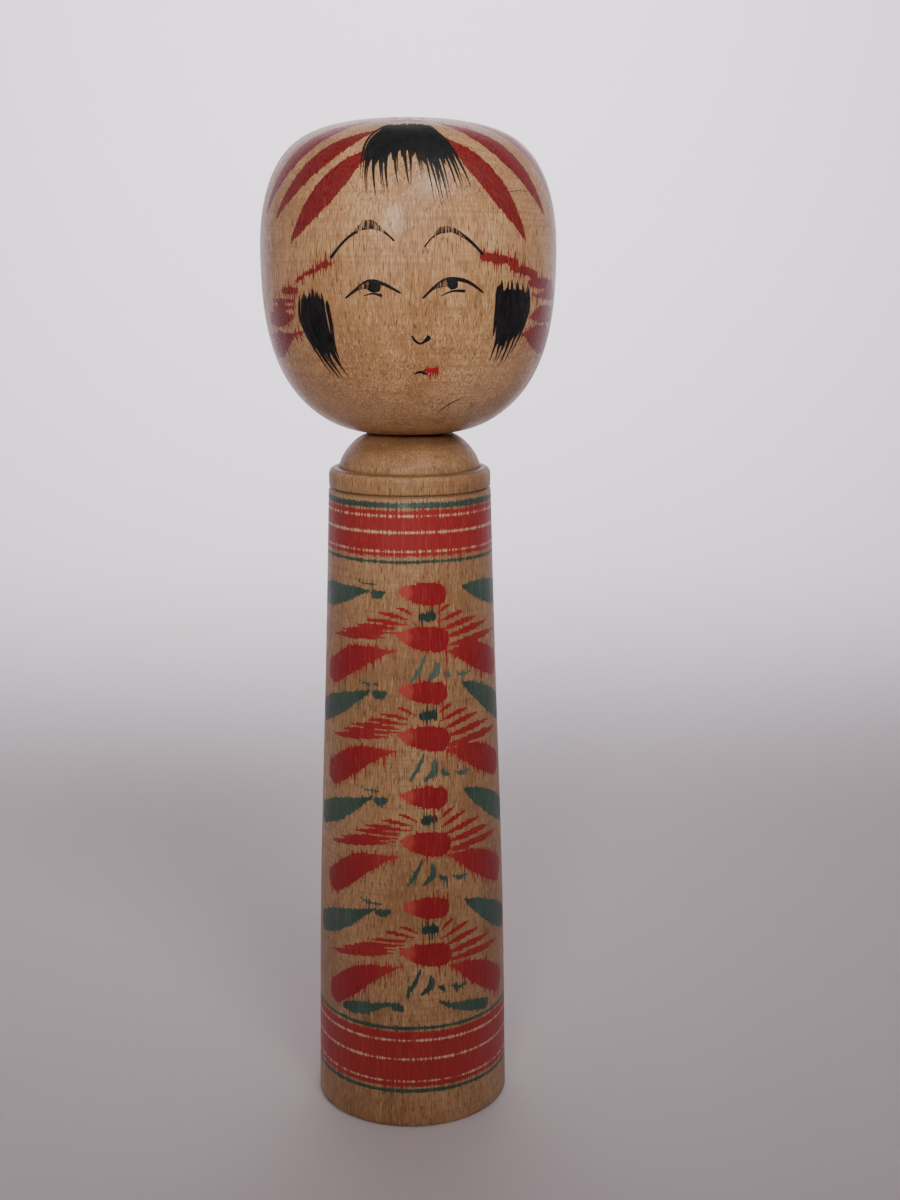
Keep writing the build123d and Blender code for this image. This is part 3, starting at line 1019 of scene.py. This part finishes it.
inked("forelock_tips", forelock_tips, [[0.42, 0.44, 0.36, 0.24]] * len(forelock_tips), wet_ink,
      hairs=5, spread=0.75, finest=0.5, taper=0.5, seed=3)

# Side locks: pressed down at the temple, then drawn in under the cheek to a few fine points.
left_lock_mass = [
    [(-42.0, 201.8), (-42.0, 197.0), (-38.6, 192.4), (-35.0, 189.4)],
    [(-38.6, 202.2), (-38.6, 197.0), (-35.8, 192.4), (-32.6, 189.2)],
    [(-35.0, 201.8), (-34.6, 197.0), (-32.8, 192.6), (-30.2, 189.4)],
]
inked("left_sidelock_mass", left_lock_mass,
      [[1.1, 1.75, 1.5, 0.4], [1.2, 1.8, 1.6, 0.4], [1.1, 1.75, 1.4, 0.4]], wet_ink, taper=0.9)
left_lock_tips = [
    [(-44.5, 202.3), (-45.2, 197.0), (-40.0, 190.5), (-33.2, 184.2)],
    [(-42.0, 203.2), (-42.5, 197.0), (-37.5, 190.0), (-30.5, 184.0)],
    [(-39.5, 203.5), (-40.0, 197.0), (-36.0, 190.5), (-32.0, 186.5)],
    [(-37.5, 203.8), (-37.5, 197.0), (-34.0, 190.0), (-29.0, 184.0)],
    [(-35.5, 203.2), (-35.0, 197.0), (-32.0, 190.5), (-27.5, 185.5)],
    [(-33.5, 203.2), (-32.5, 197.0), (-31.0, 190.5), (-25.8, 184.2)],
    [(-31.5, 202.0), (-30.3, 197.0), (-30.0, 192.0), (-28.5, 188.0)],
]
inked("left_sidelock_tips", left_lock_tips, [[0.45, 0.5, 0.45, 0.28]] * len(left_lock_tips), wet_ink,
      hairs=5, spread=0.5, finest=0.5, blunt=0.1, taper=0.62, seed=11)

right_lock_mass = [
    [(37.6, 203.6), (37.4, 198.5), (37.0, 194.2), (36.0, 191.4)],
    [(41.0, 203.8), (41.4, 198.5), (40.2, 194.2), (38.4, 191.2)],
    [(44.8, 203.6), (45.8, 198.8), (43.6, 194.4), (41.4, 191.4)],
    [(48.2, 203.0), (49.2, 199.2), (47.0, 195.2), (45.0, 192.6)],
]
inked("right_sidelock_mass", right_lock_mass,
      [[1.2, 1.6, 1.3, 0.4]] * 3 + [[0.9, 1.2, 1.1, 0.4]], wet_ink, taper=0.9)
right_lock_tips = [
    [(34.8, 204.8), (34.6, 199.7), (34.3, 195.8), (33.8, 193.4)],
    [(36.5, 205.5), (36.5, 199.0), (36.0, 193.0), (34.4, 187.8)],
    [(39.0, 205.6), (39.0, 199.0), (38.0, 193.0), (36.8, 187.2)],
    [(41.5, 205.7), (42.0, 199.0), (40.5, 193.0), (38.0, 187.6)],
    [(44.0, 205.7), (45.0, 199.0), (43.0, 193.0), (39.8, 186.8)],
    [(47.0, 205.2), (48.5, 199.0), (45.5, 193.0), (42.2, 187.4)],
    [(49.5, 204.5), (51.5, 199.5), (48.5, 194.0), (44.5, 189.5)],
]
inked("right_sidelock_tips", right_lock_tips, [[0.45, 0.5, 0.45, 0.28]] * len(right_lock_tips), wet_ink,
      hairs=5, spread=0.5, finest=0.5, blunt=0.1, taper=0.62, seed=17)

# Brows: a thin line that swells into a dry, scratchy peak and thins again.
inked("left_brow", [[(-29.2, 210.5), (-25.7, 212.8), (-22.3, 214.7), (-18.0, 216.4)],
                    [(-11.6, 216.9), (-9.0, 216.1), (-7.0, 215.2), (-4.9, 214.0)]],
      [[0.40, 0.30, 0.30, 0.36], [0.40, 0.30, 0.22, 0.22]], wet_ink)
inked("left_brow_peak", [[(-19.6, 216.1), (-17.0, 217.0), (-14.0, 217.6), (-11.0, 216.9), (-7.6, 215.5)]],
      [[0.2, 0.7, 1.05, 1.0, 0.5, 0.15]], dry_ink)
inked("right_brow", [[(5.6, 212.8), (7.6, 214.3), (10.0, 215.6)],
                     [(18.0, 216.0), (22.9, 213.9), (28.0, 211.1)]],
      [[0.18, 0.16, 0.2], [0.42, 0.36, 0.32]], wet_ink)
inked("right_brow_peak", [[(8.6, 214.8), (11.0, 216.1), (13.4, 216.5), (16.4, 216.3), (21.5, 214.5)]],
      [[0.15, 0.55, 0.8, 0.72, 0.55, 0.3]], dry_ink)

# Eyes: an arched lid, a grey wedge where the brush first touched, a pupil under it and a short lower line.
inked("left_eye", [
    [(-23.5, 202.0), (-20.0, 203.5), (-14.5, 205.5), (-9.0, 205.0), (-2.5, 203.0)],
    [(-15.0, 204.5), (-12.5, 204.5), (-10.0, 204.5)],
    [(-16.5, 202.5), (-13.0, 203.0), (-9.5, 202.5)],
], [[0.22, 0.3, 0.42, 0.5, 0.45, 0.36, 0.22], [0.7, 1.25, 1.35, 1.25, 0.8],
    [0.1, 0.18, 0.26, 0.42]], wet_ink)
inked("left_eye_shade", [[(-19.6, 203.7), (-16.6, 204.5), (-14.0, 204.8)]], [[0.1, 0.65, 0.95]], dry_ink)
inked("right_eye", [
    [(5.0, 202.0), (9.5, 204.5), (14.5, 206.0), (21.5, 205.5), (28.5, 203.0)],
    [(14.0, 205.0), (16.0, 205.0), (18.0, 205.0)],
    [(11.5, 202.5), (16.0, 203.5), (21.0, 203.5)],
], [[0.25, 0.3, 0.42, 0.5, 0.45, 0.36, 0.22], [0.6, 1.15, 1.25, 1.1, 0.7], [0.1, 0.2, 0.28, 0.40]], wet_ink)
inked("right_eye_shade", [[(8.6, 203.8), (11.4, 204.8), (14.0, 205.4)]], [[0.1, 0.6, 0.95]], dry_ink)

nose_line = [(1.0, 194.0), (2.5, 192.8), (4.4, 192.3), (6.2, 192.9), (7.8, 193.9)]
inked("nose", [nose_line], [[0.20, 0.26, 0.24, 0.26, 0.45, 0.62]], wet_ink)


# ---------------------------------------------------------------------------
# Mouth: a short black line with two touches of red dye over it, which have
# crept up and down the grain.
# ---------------------------------------------------------------------------
inked("mouth_line", [[(2.0, 185.5), (4.5, 186.0), (7.5, 185.5)]], [[0.12, 0.27, 0.34, 0.26]], wet_ink)

lip_red, lip_shader = new_material("lip_red")
lip_tools = grain_tools(lip_red.node_tree)
maths, step, mix, grain, z = lip_tools
colour, fibre, pore, height = wood_colour(lip_tools)
dyed = mix(step(fibre, 0.3, 0.6), RED_DEEP, (0.45, 0.02, 0.025))
colour = mix(step(fibre, 0.60, 0.8, 0.0, 0.3), dyed, colour)
wood_finish(lip_red.node_tree, lip_shader, lip_tools, colour, fibre, height, 0.38, 0.5)
lip_lines = [
    [(5.4, 186.2), (7.4, 186.5), (9.3, 186.1)],
    [(8.9, 186.2), (10.6, 186.5), (12.1, 186.2)],
    [(7.4, 187.4), (7.6, 186.0), (7.6, 184.9)],
    [(8.6, 187.2), (8.7, 186.0), (8.7, 183.9)],
    [(10.8, 187.7), (10.9, 186.0), (10.9, 184.5)],
    [(11.7, 187.4), (11.7, 186.0), (11.7, 184.9)],
    [(9.8, 187.0), (9.8, 186.0), (9.8, 185.0)],
]
inked("lips", lip_lines,
      [[0.15, 0.42, 0.58, 0.48], [0.42, 0.68, 0.55, 0.3]] + [[0.08, 0.22, 0.20, 0.06]] * 5, lip_red,
      slot="red_dye")


# ---------------------------------------------------------------------------
# Cracks: the hairlines that dry years have opened in the wood, round the
# dome, at the temple, between the brows and up from the foot.
# ---------------------------------------------------------------------------
check_brown, check_shader = new_material("check_brown")
check_tools = grain_tools(check_brown.node_tree)
maths, step, mix, grain, z = check_tools
colour, fibre, pore, height = wood_colour(check_tools)
colour = mix(step(grain(1.1, 1.1, 151.0, 2.0), 0.3, 0.7, 0.55, 0.95), colour, (0.035, 0.015, 0.007))
wood_finish(check_brown.node_tree, check_shader, check_tools, colour, fibre, height, 0.5, 0.65, 0.0)

head_checks = [
    [(39.0, 224.5), (46.0, 225.0), (54.0, 225.0)],
    [(1.0, 206.0), (1.0, 204.0), (0.5, 202.0)],
    [(15.0, 176.5), (20.0, 178.5), (26.0, 180.0)],
]
inked("head_checks", head_checks,
      [[0.06, 0.14, 0.10, 0.04], [0.06, 0.11, 0.05], [0.08, 0.28, 0.14]], check_brown, slot="head_wood")


def on_turning(angle, height, radius):
    """The place at an angle round from straight ahead, in degrees, a height and a radius."""
    return (radius * math.sin(math.radians(angle)), -radius * math.cos(math.radians(angle)), height)


# Most start at the foot's edge and climb, leaning a little, and one runs round the dome.
body_checks = [[on_turning(10.0, 164.0, 16.0), on_turning(23.0, 164.0, 16.0), on_turning(36.0, 164.0, 16.0)]]
for angle, top in ((-54.0, 6.5), (2.5, 10.0), (30.0, 11.0)):
    body_checks.append([on_turning(angle, top, 24.0), on_turning(angle + 1.0, 3.5, 24.0)])
laid_lines("body_checks", body_checks, [[0.04, 0.14, 0.10, 0.04]] + [[0.05, 0.14, 0.08]] * 3,
           check_brown, body, "body", "body_wood")
